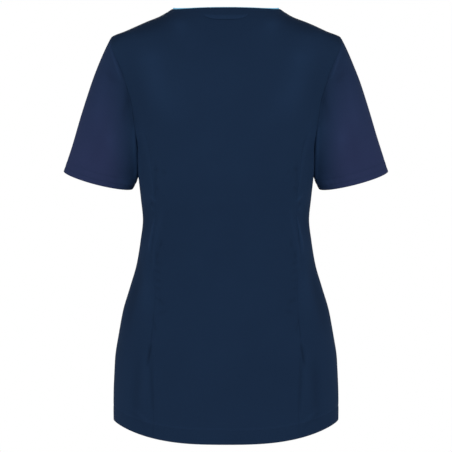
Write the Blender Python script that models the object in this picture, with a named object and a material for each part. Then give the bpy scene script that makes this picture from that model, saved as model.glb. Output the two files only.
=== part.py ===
"""A women's short-sleeved work blouse, worn, as a hollow form.

Blender 4.5. Metres, +Z up. The wearer faces -Y, so the back is at +Y and the
wearer's left is at +X. The origin is midway between the two points where the
shoulder seams meet the neck edge. Every piece of cloth is a real wall, with a
narrow gap at each seam.
"""

import math

import bmesh
import bpy
import numpy as np

MM = 0.001

# Driving dimensions
WALL = 1.5 * MM              # cloth wall
SEAM_GAP = 0.3 * MM          # between pieces that are sewn together
LAID_GAP = 0.4 * MM          # between a panel and what lies on it
NECK_HALF_WIDTH = 92 * MM    # at the shoulder seams
BACK_NECK_Z = -3 * MM        # centre back of the neck edge
V_NECK_Z = -165 * MM         # lowest point of the front neck edge
SHOULDER_Z = -48.5 * MM      # outer end of the shoulder seam
UNDERARM_Z = -237 * MM       # lowest point of the armhole
HEM_CENTRE_Z = -726.5 * MM   # hem at the centre back and centre front
HEM_RISE = 31.5 * MM         # from there up to the side seam
HEM_POWER = 2.9              # how late the hem curve turns up

# Sections of the torso in millimetres. Each is a superellipse; the back and
# front depths are measured from the line of the side and shoulder seams.
TORSO_COLUMNS = ("height", "half_width", "back", "front", "roundness")
TORSO = (
    (0, 92, 60, 56, 2.00),
    (-13, 113.2, 70, 67, 2.00),
    (-23, 137.8, 76, 75, 2.05),
    (-38, 171.5, 83, 82, 2.10),
    (-48.5, 195, 87, 86, 2.15),
    (-75, 206, 94, 96, 2.25),
    (-123, 193.5, 101, 108, 2.30),
    (-160, 178, 104, 115, 2.35),
    (-195, 166, 105, 120, 2.40),
    (-237, 151.5, 103, 122, 2.40),
    (-286, 148.4, 96, 119, 2.40),
    (-322, 144.5, 89, 113, 2.30),
    (-358, 141.1, 84, 105, 2.25),
    (-392, 144.9, 86, 104, 2.20),
    (-433, 151.8, 95, 108, 2.20),
    (-473, 163.2, 104, 112, 2.20),
    (-514, 175.2, 111, 115, 2.20),
    (-555, 182.7, 115, 117, 2.25),
    (-596, 188.3, 117, 118, 2.30),
    (-650, 190.8, 119, 119, 2.30),
    (-726.5, 190.5, 121, 120, 2.30),
)

# Gentle fullness that the cut gives: where it is, how far it spreads sideways and
# up, and how much deeper the section is there.
SHAPING_COLUMNS = ("side", "x", "z", "spread_x", "spread_z", "share")
SHAPING = (
    ("front", 80 * MM, -245 * MM, 45 * MM, 62 * MM, 0.075),
    ("back", 92 * MM, -125 * MM, 48 * MM, 60 * MM, 0.030),
)

# The back princess seam, seen from behind, in millimetres.
PRINCESS_COLUMNS = ("height", "x")
PRINCESS = (
    (-187, 155),
    (-209, 138),
    (-238, 128),
    (-265, 124.5),
    (-295, 121),
    (-320, 118),
    (-350, 117),
    (-380, 121),
    (-410, 123.5),
    (-475, 118),
    (-519, 120),
    (-559, 124),
    (-590, 122.5),
    (-640, 119.5),
    (-726.5, 121),
)
PRINCESS_TOP_Z = -187 * MM   # where it meets the armhole
# Below the hip the cloth folds in along this seam.
PLEAT_TOP_Z = -545 * MM
PLEAT_DEEPEST_Z = -625 * MM
PLEAT_END_Z = -705 * MM
PLEAT_DEPTH = 4 * MM
PLEAT_WIDTH = 11 * MM

# Armholes, seen from the side
ARMHOLE_BACK_DEPTH = 57 * MM
ARMHOLE_FRONT_DEPTH = 54 * MM
ARMHOLE_ROUNDNESS = 2.2
ARMHOLE_MID_Z = (SHOULDER_Z + UNDERARM_Z) / 2
ARMHOLE_HALF_HEIGHT = (SHOULDER_Z - UNDERARM_Z) / 2

# Sleeves: the opening at the hem is an ellipse, seen from behind
CUFF_CENTRE = (218.6 * MM, -28 * MM, -288.8 * MM)
CUFF_OUT = (59.2 * MM, 0.0, 15.1 * MM)       # from the centre to the outer edge
CUFF_BACK = (0.0, 46.5 * MM, -9.7 * MM)      # from the centre to the back edge
CAP_BULGE = 5.6 * MM                         # fullness near the sleeve head
CAP_BULGE_PEAK = 0.1481                      # largest value of s * (1 - s)**2
UNDERARM_DIP = 9 * MM                        # the inner side leans on the torso
SLEEVE_CLEARANCE = 0.8 * MM                  # and stays this far from it
SLEEVE_INSET = 1.3                           # seam gap on the armhole's inner side
CLEAR_FROM_Z = -160 * MM                     # where that begins to be kept
CLEAR_FULLY_Z = -185 * MM                    # and from where it is kept whole

# Neck tape and hanger loop
TAPE_WALL = 1.0 * MM
TAPE_WIDTH = 11 * MM
TAPE_EDGE_Z = -4.6 * MM      # where its lower edge crosses the shoulder seam
V_STRETCH = 2.0              # its height over its width, where the V runs steeply
TAPE_PEEK = 0.5 * MM         # above the neck edge
TAPE_CORNER_PEEK = 1.7 * MM  # by the shoulder seams, at the back
TAPE_CORNER_FROM = 60 * MM   # from the centre, where that peek begins
LOOP_WALL = 1.0 * MM
LOOP_WIDTH = 7.6 * MM
LOOP_HALF_LENGTH = 37 * MM
LOOP_Z = -21.2 * MM          # middle of the strip at the centre back
LOOP_END_RISE = 5.0 * MM     # its ends run up to the neck seam

# The panels' rows run from the centre out to an edge. Height at the centre of the
# row whose edge is at the foot of the armhole, and of the one at its top.
ARMHOLE_FOOT_CENTRE_Z = {"back": -190 * MM, "front": -300 * MM}
ARMHOLE_TOP_CENTRE_Z = {"back": -52 * MM, "front": -215 * MM}
ROW_POWER = 2.0                              # how late a row turns up to its edge
NECK_POWER = {"back": 8.0, "front": 1.0}     # the same at the neck: 1 is a straight V
NECK_POWER_AT_SHOULDER = {"back": 0.0, "front": 0.6}   # how much of that the shoulder has

# Grid sizes
PANEL_ROWS = 22              # hem to armhole
SHOULDER_ROWS = 6
BACK_ARMHOLE_ROWS = 8
FRONT_ARMHOLE_ROWS = 13
SIDE_COLUMNS = 7
BACK_COLUMNS = 18
FRONT_COLUMNS = 26
SLEEVE_ROWS = 12
SLEEVE_SPACING = 1.15        # above 1, the rings are closer near the armhole
LOOP_COLUMNS = 16
EDGE_STRIP = 2 * MM          # narrow column along each seam
EDGE_SAMPLES = 60
SHARP_ANGLE = 50             # degrees, between a face and a rim

# Colours in linear RGB
NAVY = (0.0103, 0.0232, 0.0529)
SLEEVE_NAVY = (0.0203, 0.0284, 0.0782)
TAPE_BLUE = (0.1878, 0.5149, 0.7529)


# ---------------------------------------------------------------- curves

def mix(low, high, share):
    return low + (high - low) * share


def steps(count):
    """Even shares from 0 to 1, both ends included."""
    return [i / count for i in range(count + 1)]


def monotone_curve(xs, ys):
    """A smooth curve through the points that never swings past them."""
    order = np.argsort(xs)
    xs = np.asarray(xs, float)[order]
    ys = np.asarray(ys, float)[order]
    gaps = np.diff(xs)
    rises = np.diff(ys) / gaps
    slopes = np.empty(len(xs))
    slopes[0] = rises[0]
    slopes[-1] = rises[-1]
    for i in range(1, len(xs) - 1):
        before, after = rises[i - 1], rises[i]
        same_way = before * after > 0
        slopes[i] = 2 * before * after / (before + after) if same_way else 0.0

    def curve(x):
        x = float(np.clip(x, xs[0], xs[-1]))
        i = int(np.clip(np.searchsorted(xs, x) - 1, 0, len(gaps) - 1))
        t = (x - xs[i]) / gaps[i]
        start = (1 + 2 * t) * (1 - t) ** 2 * ys[i] + t * (1 - t) ** 2 * gaps[i] * slopes[i]
        end = t * t * (3 - 2 * t) * ys[i + 1] + t * t * (t - 1) * gaps[i] * slopes[i + 1]
        return start + end

    return curve


def column(table, names, name):
    return [row[names.index(name)] for row in table]


def table_curve(table, names, name, scale):
    heights = [z * MM for z in column(table, names, "height")]
    values = [v * scale for v in column(table, names, name)]
    return monotone_curve(heights, values)


half_width = table_curve(TORSO, TORSO_COLUMNS, "half_width", MM)
back_depth = table_curve(TORSO, TORSO_COLUMNS, "back", MM)
front_depth = table_curve(TORSO, TORSO_COLUMNS, "front", MM)
roundness = table_curve(TORSO, TORSO_COLUMNS, "roundness", 1.0)
princess_x = table_curve(PRINCESS, PRINCESS_COLUMNS, "x", MM)


def hem_z(x):
    return HEM_CENTRE_Z + HEM_RISE * (abs(x) / half_width(HEM_CENTRE_Z)) ** HEM_POWER


# ---------------------------------------------------------------- torso

FULLNESS = [dict(zip(SHAPING_COLUMNS, row)) for row in SHAPING]


def depth_at(side, x, z):
    """Depth of the section on one side, with its shaping."""
    depth = back_depth(z) if side == "back" else front_depth(z)
    for bump in FULLNESS:
        if bump["side"] == side:
            across = (abs(x) - bump["x"]) / bump["spread_x"]
            up = (z - bump["z"]) / bump["spread_z"]
            depth *= 1 + bump["share"] * math.exp(-across * across - up * up)
    return depth


def pleat_dip(x, z):
    """How far the cloth folds in along the princess seam."""
    if not PLEAT_END_Z < z < PLEAT_TOP_Z:
        return 0.0
    reach = PLEAT_TOP_Z if z > PLEAT_DEEPEST_Z else PLEAT_END_Z
    share = (z - reach) / (PLEAT_DEEPEST_Z - reach)
    fade = share * share * (3 - 2 * share)
    away = (abs(x) - princess_x(z)) / PLEAT_WIDTH
    return PLEAT_DEPTH * fade * math.exp(-away * away)


def torso_point(side, x, z):
    """The outer face of the cloth at a width and height."""
    n = roundness(z)
    share = min(abs(x) / half_width(z), 1.0)
    y = depth_at(side, x, z) * (1 - share ** n) ** (1 / n)
    if side == "back":
        return (x, y - pleat_dip(x, z), z)
    return (x, -y, z)


def section_value(x, y, z):
    """Zero on the outer face, positive outside it."""
    side = "back" if y > 0 else "front"
    dip = pleat_dip(x, z) if side == "back" else 0.0
    n = roundness(z)
    return (abs(x) / half_width(z)) ** n + ((abs(y) + dip) / depth_at(side, x, z)) ** n - 1


def torso_normal(point):
    """Outward direction of the torso's face, from how its section formula changes."""
    step = 0.2 * MM
    slopes = []
    for axis in range(3):
        ahead, behind = list(point), list(point)
        ahead[axis] += step
        behind[axis] -= step
        slopes.append(section_value(*ahead) - section_value(*behind))
    return np.array(slopes) / np.linalg.norm(slopes)


def turn_at(x, z):
    """Angle round the section at a width: 0 at the side, a quarter turn at the centre."""
    return math.acos(min(x / half_width(z), 1.0) ** (roundness(z) / 2))


def width_at(turn, z):
    return half_width(z) * math.cos(turn) ** (2 / roundness(z))


def in_from_edge(side, edge_x, z, distance):
    """Width of the point that lies a short way in from the edge, along the face."""
    edge_turn = turn_at(edge_x, z)
    shares = np.linspace(0, 0.5, EDGE_SAMPLES) ** 2
    xs = [width_at(mix(edge_turn, math.pi / 2, share), z) for share in shares]
    points = np.array([torso_point(side, x, z) for x in xs])
    lengths = np.concatenate([[0], np.cumsum(np.linalg.norm(np.diff(points, axis=0), axis=1))])
    return float(np.interp(distance, lengths, xs))


# ---------------------------------------------------------------- armhole

def armhole_point(side, angle):
    """Angle -90 degrees is under the arm, +90 is the shoulder."""
    z = ARMHOLE_MID_Z + ARMHOLE_HALF_HEIGHT * math.sin(angle)
    m = ARMHOLE_ROUNDNESS
    level = min(abs(math.sin(angle)), 1.0)
    reach = ARMHOLE_BACK_DEPTH if side == "back" else ARMHOLE_FRONT_DEPTH
    y = reach * (1 - level ** m) ** (1 / m)
    n = roundness(z)
    x = half_width(z)
    for _ in range(6):
        depth = depth_at(side, x, z)
        x = half_width(z) * (1 - (y / depth) ** n) ** (1 / n)
    return (x, y if side == "back" else -y, z)


PRINCESS_ANGLE = math.asin((PRINCESS_TOP_Z - ARMHOLE_MID_Z) / ARMHOLE_HALF_HEIGHT)


def armhole_angles(start, end, count):
    return [mix(start, end, share) for share in steps(count)]


# ---------------------------------------------------------------- panels

def panel_rows(side):
    """Rows of a front or centre back, hem to neck.

    Each row has its edge width and height, its centre height, how late it
    turns from one to the other, and whether its edge is a seam.
    """
    if side == "back":
        foot_z, foot_angle, armhole_rows = PRINCESS_TOP_Z, PRINCESS_ANGLE, BACK_ARMHOLE_ROWS
        edge_x_at = princess_x
        neck_centre_z = BACK_NECK_Z
        tape_centre_z = BACK_NECK_Z - TAPE_WIDTH
    else:
        foot_z, foot_angle, armhole_rows = UNDERARM_Z, -math.pi / 2, FRONT_ARMHOLE_ROWS
        edge_x_at = half_width
        neck_centre_z = V_NECK_Z
        tape_centre_z = V_NECK_Z - TAPE_WIDTH * V_STRETCH
    foot_centre_z = ARMHOLE_FOOT_CENTRE_Z[side]
    top_centre_z = ARMHOLE_TOP_CENTRE_Z[side]
    neck_power = NECK_POWER[side]
    top_power = mix(ROW_POWER, neck_power, NECK_POWER_AT_SHOULDER[side])
    hem_edge_z = hem_z(edge_x_at(hem_z(edge_x_at(HEM_CENTRE_Z))))
    rows = []
    for share in steps(PANEL_ROWS):
        z = mix(hem_edge_z, foot_z, share)
        centre_z = mix(HEM_CENTRE_Z, foot_centre_z, share)
        rows.append((edge_x_at(z), z, centre_z, mix(HEM_POWER, ROW_POWER, share), True))
    for angle in armhole_angles(foot_angle, math.pi / 2, armhole_rows)[1:]:
        x, _, z = armhole_point(side, angle)
        share = (z - foot_z) / (SHOULDER_Z - foot_z)
        centre_z = mix(foot_centre_z, top_centre_z, share)
        rows.append((x, z, centre_z, mix(ROW_POWER, top_power, share), False))
    for share in steps(SHOULDER_ROWS)[1:]:
        z = mix(SHOULDER_Z, TAPE_EDGE_Z, share)
        centre_z = mix(top_centre_z, tape_centre_z, share)
        rows.append((half_width(z), z, centre_z, mix(top_power, neck_power, share), True))
    rows.append((NECK_HALF_WIDTH, 0.0, neck_centre_z, neck_power, True))
    return rows


def half_row(side, row, columns):
    """Points of one row from the centre out to its edge."""
    edge_x, edge_z, centre_z, power, is_seam = row
    gap = SEAM_GAP / 2 if is_seam else 0.0
    last_x = in_from_edge(side, edge_x, edge_z, gap)
    strip_x = in_from_edge(side, edge_x, edge_z, gap + EDGE_STRIP)
    points = []
    for share in steps(columns):
        across = math.sin(share * math.pi / 2)
        z = mix(centre_z, edge_z, across ** power)
        points.append(torso_point(side, across * strip_x, z))
    points.append(torso_point(side, last_x, edge_z))
    return points


def full_row(side, row, columns):
    half = half_row(side, row, columns // 2)
    mirrored = [(-x, y, z) for x, y, z in reversed(half[1:])]
    return mirrored + half


def centre_back_grid():
    return [full_row("back", row, BACK_COLUMNS) for row in panel_rows("back")]


def front_grid():
    rows = [full_row("front", row, FRONT_COLUMNS) for row in panel_rows("front")]
    return [row[::-1] for row in rows]


def side_back_grid():
    """From the princess seam out to the side seam, hem to armhole."""
    angles = armhole_angles(PRINCESS_ANGLE, -math.pi / 2, SIDE_COLUMNS)
    top = [armhole_point("back", angle) for angle in angles]
    turns = [turn_at(x, z) for x, _, z in top]
    seam_hem_z = hem_z(princess_x(HEM_CENTRE_Z))
    side_hem_z = hem_z(half_width(HEM_CENTRE_Z))
    falls = []
    for turn, (_, _, z) in zip(turns, top):
        hem_turn = turn_at(princess_x(seam_hem_z), seam_hem_z) * turn / turns[0]
        hem_share = hem_z(width_at(hem_turn, HEM_CENTRE_Z)) - seam_hem_z
        top_share = (z - PRINCESS_TOP_Z) / (UNDERARM_Z - PRINCESS_TOP_Z)
        falls.append((hem_share / (side_hem_z - seam_hem_z), top_share))
    rows = []
    for share in steps(PANEL_ROWS):
        seam_z = mix(seam_hem_z, PRINCESS_TOP_Z, share)
        side_z = mix(side_hem_z, UNDERARM_Z, share)
        seam_turn = turn_at(princess_x(seam_z), seam_z)
        points = []
        for turn, (hem_fall, top_fall) in zip(turns, falls):
            z = mix(seam_z, side_z, mix(hem_fall, top_fall, share))
            points.append((width_at(seam_turn * turn / turns[0], z), z))
        rows.append(inset_side_row(points))
    return rows


def inset_side_row(points):
    """Turns widths and heights into points, with narrow columns by the seams."""
    (seam_x, seam_z), (next_x, next_z) = points[:2]
    side_z = points[-1][1]
    slope = (princess_x(seam_z + MM) - princess_x(seam_z - MM)) / (2 * MM)
    row_length = math.hypot(next_x - seam_x, next_z - seam_z)
    seam_turned = abs((next_x - seam_x) - (next_z - seam_z) * slope)
    crossing = seam_turned / (row_length * math.hypot(slope, 1.0))
    edge = []
    for distance in (SEAM_GAP / 2 / crossing, SEAM_GAP / 2 / crossing + EDGE_STRIP):
        share = distance / row_length
        edge.append(torso_point("back", mix(seam_x, next_x, share), mix(seam_z, next_z, share)))
    middle = [torso_point("back", x, z) for x, z in points[1:-1]]
    close = []
    for distance in (SEAM_GAP / 2 + EDGE_STRIP, SEAM_GAP / 2):
        close.append(in_from_edge("back", half_width(side_z), side_z, distance))
    return edge + middle + [torso_point("back", x, side_z) for x in close]


# ---------------------------------------------------------------- sleeve

def armhole_ring():
    """Points round the left armhole, from the shoulder down the back and up the front."""
    back = armhole_angles(math.pi / 2, PRINCESS_ANGLE, BACK_ARMHOLE_ROWS)
    back += armhole_angles(PRINCESS_ANGLE, -math.pi / 2, SIDE_COLUMNS)[1:]
    front = armhole_angles(-math.pi / 2, math.pi / 2, FRONT_ARMHOLE_ROWS)[1:-1]
    ring = [("back", angle) for angle in back] + [("front", angle) for angle in front]
    return ring


def ring_turns(points):
    """Turn of each point round the sleeve: 0 at the shoulder, pi under the arm."""
    lengths = [0.0]
    for a, b in zip(points, points[1:] + points[:1]):
        lengths.append(lengths[-1] + math.dist(a, b))
    under = lengths[BACK_ARMHOLE_ROWS + SIDE_COLUMNS]
    turns = []
    for length in lengths[:-1]:
        if length <= under:
            turns.append(math.pi * length / under)
        else:
            turns.append(math.pi * (1 + (length - under) / (lengths[-1] - under)))
    return turns


def clear_of_torso(point):
    """Moves a sleeve point out to where it just clears the side of the torso."""
    x, y, z = point
    fade = (CLEAR_FROM_Z - z) / (CLEAR_FROM_Z - CLEAR_FULLY_Z)
    side = "back" if y > 0 else "front"
    share = min(abs(y) / depth_at(side, x, z), 1.0)
    n = roundness(z)
    limit = half_width(z) * (1 - share ** n) ** (1 / n) + SLEEVE_CLEARANCE
    return (x + max(limit - x, 0.0) * min(max(fade, 0.0), 1.0), y, z)


def armhole_frame(point):
    """The torso's outward direction there, and the way along its face into the hole."""
    normal = torso_normal(point)
    inward = np.array([0.0, -point[1], ARMHOLE_MID_Z - point[2]])
    inward -= normal * np.dot(inward, normal)
    return normal, inward / np.linalg.norm(inward)


def sleeve_grids():
    """Rings from the armhole down to the hem of the left sleeve: outer, then inner."""
    edge = [armhole_point(side, angle) for side, angle in armhole_ring()]
    frames = [armhole_frame(point) for point in edge]
    turns = ring_turns(edge)
    outer = []
    for share in steps(SLEEVE_ROWS):
        s = share ** SLEEVE_SPACING
        fullness = CAP_BULGE * s * (1 - s) ** 2 / CAP_BULGE_PEAK
        row = []
        for begin, (normal, inward), turn in zip(edge, frames, turns):
            start = np.array(begin) + SEAM_GAP * (normal + inward * SLEEVE_INSET)
            out = np.array(CUFF_OUT) * math.cos(turn)
            back = np.array(CUFF_BACK) * math.sin(turn)
            end = np.array(CUFF_CENTRE) + out + back
            radial = (out + back) / np.linalg.norm(out + back)
            outward = 0.5 + 0.5 * math.cos(turn)
            point = mix(start, end, s) + fullness * outward * radial
            point[0] -= UNDERARM_DIP * (1 - outward) ** 3 * 4 * s * (1 - s)
            row.append(np.array(clear_of_torso(point)) if share > 0 else point)
        outer.append(row)
    inner = [offset_ring(outer, i, -WALL) for i in range(len(outer))]
    for point, start, (_, inward) in zip(inner[0], outer[0], frames):
        point -= inward * min(np.dot(point - start, inward), 0.0)
    return outer, inner


def offset_ring(rings, index, distance):
    """One ring of a tube, moved along its outward direction."""
    above = rings[max(index - 1, 0)]
    below = rings[min(index + 1, len(rings) - 1)]
    ring = rings[index]
    moved = []
    for i, point in enumerate(ring):
        round_way = ring[(i + 1) % len(ring)] - ring[i - 1]
        normal = np.cross(below[i] - above[i], round_way)
        moved.append(point + normal / np.linalg.norm(normal) * distance)
    return moved


# ---------------------------------------------------------------- neck

def tape_grids():
    """The neck tape's outer and inner face, made from the panels' points inside them."""
    back, front = centre_back_grid(), front_grid()
    columns = [("back", a, b) for a, b in zip(back[-1][1:-1], back[-2][1:-1])]
    columns += [("front", a, b) for a, b in zip(front[-1][1:-1], front[-2][1:-1])]
    faces = []
    for depth in (WALL + LAID_GAP, WALL + LAID_GAP + TAPE_WALL):
        low, edge, high = [], [], []
        for side, neck, below in columns:
            corner = max(abs(neck[0]) - TAPE_CORNER_FROM, 0) / (NECK_HALF_WIDTH - TAPE_CORNER_FROM)
            peek = mix(TAPE_PEEK, TAPE_CORNER_PEEK, corner) if side == "back" else TAPE_PEEK
            up = np.subtract(neck, below)
            up /= np.linalg.norm(up)
            low.append(below - torso_normal(below) * depth)
            edge.append(neck - torso_normal(neck) * depth)
            high.append(edge[-1] + up * peek)
        faces.append([low, edge, high])
    return faces


def loop_grids():
    """The hanger loop's outer and inner face, lying on the centre back."""
    faces = []
    for lift in (LAID_GAP + LOOP_WALL, LAID_GAP):
        rows = [[], [], []]
        for share in steps(LOOP_COLUMNS):
            along = share * 2 - 1
            middle_z = LOOP_Z + LOOP_END_RISE * along ** 4
            for row, offset in zip(rows, (-0.5, 0.0, 0.5)):
                z = middle_z + offset * LOOP_WIDTH
                point = torso_point("back", along * LOOP_HALF_LENGTH, z)
                row.append(point + torso_normal(point) * lift)
        faces.append(rows)
    return faces


# ---------------------------------------------------------------- Blender

def clear_scene():
    for item in list(bpy.data.objects):
        bpy.data.objects.remove(item, do_unlink=True)


def cloth_material(name, colour):
    material = bpy.data.materials.new(name)
    material.use_nodes = True
    shader = material.node_tree.nodes["Principled BSDF"]
    shader.inputs["Base Color"].default_value = (*colour, 1.0)
    shader.inputs["Roughness"].default_value = 0.85
    shader.inputs["Metallic"].default_value = 0.0
    return material


def mirrored(grid):
    return [[(-x, y, z) for x, y, z in reversed(row)] for row in grid]


def inner_face(grid):
    """The torso's points moved in by the wall, along the form's own directions."""
    return [[point - torso_normal(point) * WALL for point in row] for row in grid]


def add_quad(build, outer, inner):
    """One patch of cloth, its two faces split along the same, shorter diagonal."""
    a, b, c, d = outer
    turn = 0 if (a.co - c.co).length <= (b.co - d.co).length else 1
    for ring in (outer, inner[::-1]):
        start = turn if ring is outer else 3 - turn
        w, x, y, z = [ring[(start + k) % 4] for k in range(4)]
        build.faces.new((w, x, y))
        build.faces.new((w, y, z))


def add_cloth(name, outer, inner, material, collection, closed=False):
    """A closed wall between two grids of points, with rims round its edges."""
    build = bmesh.new()
    out_verts = [[build.verts.new(point) for point in row] for row in outer]
    in_verts = [[build.verts.new(point) for point in row] for row in inner]
    width = len(outer[0])
    for low, high, in_low, in_high in zip(out_verts, out_verts[1:], in_verts, in_verts[1:]):
        for i in range(width if closed else width - 1):
            j = (i + 1) % width
            out_patch = (low[i], high[i], high[j], low[j])
            add_quad(build, out_patch, (in_low[i], in_high[i], in_high[j], in_low[j]))
        if not closed:
            build.faces.new((low[0], in_low[0], in_high[0], high[0]))
            build.faces.new((high[-1], in_high[-1], in_low[-1], low[-1]))
    for i in range(width if closed else width - 1):
        j = (i + 1) % width
        build.faces.new((out_verts[0][i], out_verts[0][j], in_verts[0][j], in_verts[0][i]))
        build.faces.new((in_verts[-1][i], in_verts[-1][j], out_verts[-1][j], out_verts[-1][i]))
    bmesh.ops.recalc_face_normals(build, faces=build.faces[:])
    mesh = bpy.data.meshes.new(name)
    build.to_mesh(mesh)
    build.free()
    mesh.shade_smooth()
    mesh.set_sharp_from_angle(angle=math.radians(SHARP_ANGLE))
    mesh.materials.append(material)
    piece = bpy.data.objects.new(name, mesh)
    collection.objects.link(piece)
    return piece


def build_blouse():
    clear_scene()
    collection = bpy.data.collections.new("work_blouse")
    bpy.context.scene.collection.children.link(collection)
    body = cloth_material("body_cloth", NAVY)
    sleeve = cloth_material("sleeve_cloth", SLEEVE_NAVY)
    tape = cloth_material("tape", TAPE_BLUE)

    left_side = side_back_grid()
    torso_panels = {
        "back_centre": centre_back_grid(),
        "back_side_left": left_side,
        "back_side_right": mirrored(left_side),
        "front": front_grid(),
    }
    for name, grid in torso_panels.items():
        add_cloth(name, grid, inner_face(grid), body, collection)
    outer, inner = sleeve_grids()
    add_cloth("sleeve_left", outer, inner, sleeve, collection, closed=True)
    add_cloth("sleeve_right", mirrored(outer), mirrored(inner), sleeve, collection, closed=True)
    outer, inner = tape_grids()
    add_cloth("neck_tape", outer, inner, tape, collection, closed=True)
    outer, inner = loop_grids()
    add_cloth("hanger_loop", outer, inner, body, collection)


build_blouse()
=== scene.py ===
"""Looks of the work blouse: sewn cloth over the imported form, seen from behind.

Metres, +Z up. The wearer faces -Y, so the back is at +Y and the wearer's left is
at +X. Each cloth piece is a thin shell on the form of its CAD node, with its
seams, folds and stitching. Tables of places are in millimetres.
"""

import math

import bpy
import numpy as np
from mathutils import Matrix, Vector


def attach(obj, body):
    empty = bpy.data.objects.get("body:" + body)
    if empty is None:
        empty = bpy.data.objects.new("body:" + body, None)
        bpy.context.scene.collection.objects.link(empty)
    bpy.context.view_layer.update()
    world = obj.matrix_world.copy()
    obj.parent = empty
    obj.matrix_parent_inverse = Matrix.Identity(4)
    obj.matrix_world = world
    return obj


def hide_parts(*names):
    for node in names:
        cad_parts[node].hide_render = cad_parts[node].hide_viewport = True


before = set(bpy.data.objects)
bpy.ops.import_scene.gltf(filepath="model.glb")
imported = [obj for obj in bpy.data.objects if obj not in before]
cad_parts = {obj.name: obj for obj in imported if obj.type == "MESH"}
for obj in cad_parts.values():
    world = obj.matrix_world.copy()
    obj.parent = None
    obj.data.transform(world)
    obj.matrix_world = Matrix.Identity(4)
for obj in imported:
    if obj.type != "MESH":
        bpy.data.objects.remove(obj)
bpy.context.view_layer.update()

MM = 0.001

# The form, as the CAD has it. Here the back neck edge is 0.4 mm lower, with sharper
# corners, and the bend at the shoulder's height is eased.
NECK_HALF_WIDTH = 92 * MM    # at the shoulder seams
BACK_NECK_Z = -3.4 * MM      # at the centre of the neck edge
V_NECK_Z = -165 * MM
SHOULDER_Z = -48.5 * MM      # outer end of the shoulder seam
UNDERARM_Z = -237 * MM
PRINCESS_TOP_Z = -187 * MM   # where the princess seam meets the armhole
HEM_CENTRE_Z = -726.5 * MM
HEM_RISE = 31.5 * MM         # from there up to the side seam
HEM_POWER = 2.9              # how late the hem curve turns up

# Sections of the torso, superellipses, and gentle fullness that the cut gives
TORSO_COLUMNS = ("height", "half_width", "back", "front", "roundness")
TORSO = (
    (0, 92, 60, 56, 2.00),
    (-13, 113.2, 70, 67, 2.00),
    (-23, 137.8, 76, 75, 2.05),
    (-38, 171.5, 83, 82, 2.10),
    (-48.5, 195, 87, 86, 2.15),
    (-75, 206, 94, 96, 2.25),
    (-123, 193.5, 101, 108, 2.30),
    (-160, 178, 104, 115, 2.35),
    (-195, 166, 105, 120, 2.40),
    (-237, 151.5, 103, 122, 2.40),
    (-286, 148.4, 96, 119, 2.40),
    (-322, 144.5, 89, 113, 2.30),
    (-358, 141.1, 84, 105, 2.25),
    (-392, 144.9, 86, 104, 2.20),
    (-433, 151.8, 95, 108, 2.20),
    (-473, 163.2, 104, 112, 2.20),
    (-514, 175.2, 111, 115, 2.20),
    (-555, 182.7, 115, 117, 2.25),
    (-596, 188.3, 117, 118, 2.30),
    (-650, 190.8, 119, 119, 2.30),
    (-726.5, 190.5, 121, 120, 2.30),
)
FULLNESS_COLUMNS = ("side", "x", "z", "spread_x", "spread_z", "share")
FULLNESS = (
    ("front", 80, -245, 45, 62, 0.075),
    ("back", 92, -125, 48, 60, 0.030),
)
PRINCESS_COLUMNS = ("height", "x")
PRINCESS = (
    (-187, 155),
    (-209, 138),
    (-238, 128),
    (-265, 124.5),
    (-295, 121),
    (-320, 118),
    (-350, 117),
    (-380, 121),
    (-410, 123.5),
    (-475, 118),
    (-519, 120),
    (-559, 124),
    (-590, 122.5),
    (-640, 119.5),
    (-726.5, 121),
)
ARMHOLE_DEPTH = {"back": 57 * MM, "front": 54 * MM}
ARMHOLE_ROUNDNESS = 2.2
ARMHOLE_MID_Z = (SHOULDER_Z + UNDERARM_Z) / 2
ARMHOLE_HALF_HEIGHT = (SHOULDER_Z - UNDERARM_Z) / 2
ARMHOLE_FOOT_CENTRE_Z = {"back": -190 * MM, "front": -300 * MM}
ARMHOLE_TOP_CENTRE_Z = {"back": -52 * MM, "front": -215 * MM}
WIDTH_ROUNDS = 6             # rounds that find an armhole point's width
SLOPE_STEP = 0.2 * MM        # to either side, to find the form's slope
ROW_POWER = 2.0              # how late the rows of cloth curve, centre to edge
NECK_POWER = {"back": 20.0, "front": 1.0}     # the same at the neck: 1 is a straight V
NECK_POWER_AT_SHOULDER = {"back": 0.0, "front": 0.6}   # how much of that the shoulder has
# The widths at these steps up and down, with their weights, ease the shoulder's bend
SHOULDER_EASE = ((-12, 1 / 16), (-6, 4 / 16), (0, 6 / 16), (6, 4 / 16), (12, 1 / 16))
EASE_FROM = 0.93             # share of the half width where it begins, going inwards
EASE_OVER = 0.2              # and the share over which it grows
EASE_LOW = -75 * MM          # it begins at this height, and is full from the next one up
EASE_FULL = -58 * MM
CUFF_CENTRE = np.array((218.6, -28, -288.8)) * MM
CUFF_OUT = np.array((59.2, 0, 15.1)) * MM      # from the centre to the outer edge
CUFF_BACK = np.array((0, 46.5, -9.7)) * MM     # from the centre to the back edge
CAP_BULGE = 5.6 * MM
CAP_BULGE_PEAK = 0.1481      # highest value of s (1 - s) squared
UNDERARM_DIP = 9 * MM
SLEEVE_CLEARANCE = 0.8 * MM  # from the torso, fully so below the second height
CLEAR_FROM_Z = -160 * MM
CLEAR_FULLY_Z = -185 * MM

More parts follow.
